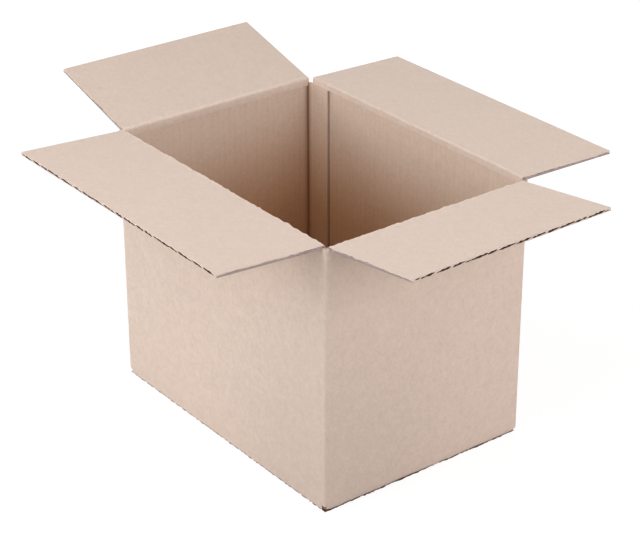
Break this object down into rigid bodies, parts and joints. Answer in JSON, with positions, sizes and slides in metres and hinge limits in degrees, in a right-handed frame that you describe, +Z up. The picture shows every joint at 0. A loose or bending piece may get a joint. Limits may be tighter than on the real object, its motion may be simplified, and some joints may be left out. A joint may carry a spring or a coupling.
{
  "type": "open slotted carton",
  "caption": "Plain slotted carton of corrugated kraft board, standing open, with hinged top flaps folded outwards and the bottom shut.",
  "frame": {"origin": "centre of the base, on the face the carton stands on", "axes": "+X along the long side, towards the right flap; +Y along the short side, towards the back flap and the wall with the glue tab inside; +Z up through the open top"},
  "size_m": [0.5119, 0.426, 0.28],
  "materials": {
    "kraft_body": "matte kraft liner",
    "kraft_flap": "matte kraft liner, inner side up"
  },
  "bodies": {
    "carton_body": {"carton_body": "kraft_body"},
    "front_flap": {"front_flap": "kraft_flap"},
    "back_flap": {"back_flap": "kraft_flap"},
    "right_flap": {"right_flap": "kraft_flap"},
    "left_flap": {"left_flap": "kraft_flap"}
  },
  "joints": [
    {"name": "front_crease", "type": "hinge", "parent": "carton_body", "child": "front_flap", "pos_m": [0, -0.108, 0.2527], "axis": [-1, 0, 0], "range_deg": [-48.5, 176.5]},
    {"name": "back_crease", "type": "hinge", "parent": "carton_body", "child": "back_flap", "pos_m": [0, 0.108, 0.2527], "axis": [1, 0, 0], "range_deg": [-43.5, 181.5]},
    {"name": "right_crease", "type": "hinge", "parent": "carton_body", "child": "right_flap", "pos_m": [0.153, 0, 0.2505], "axis": [0, -1, 0], "range_deg": [-52.5, 172.5]},
    {"name": "left_crease", "type": "hinge", "parent": "carton_body", "child": "left_flap", "pos_m": [-0.153, 0, 0.2505], "axis": [0, 1, 0], "range_deg": [-60.5, 164.5]}
  ]
}
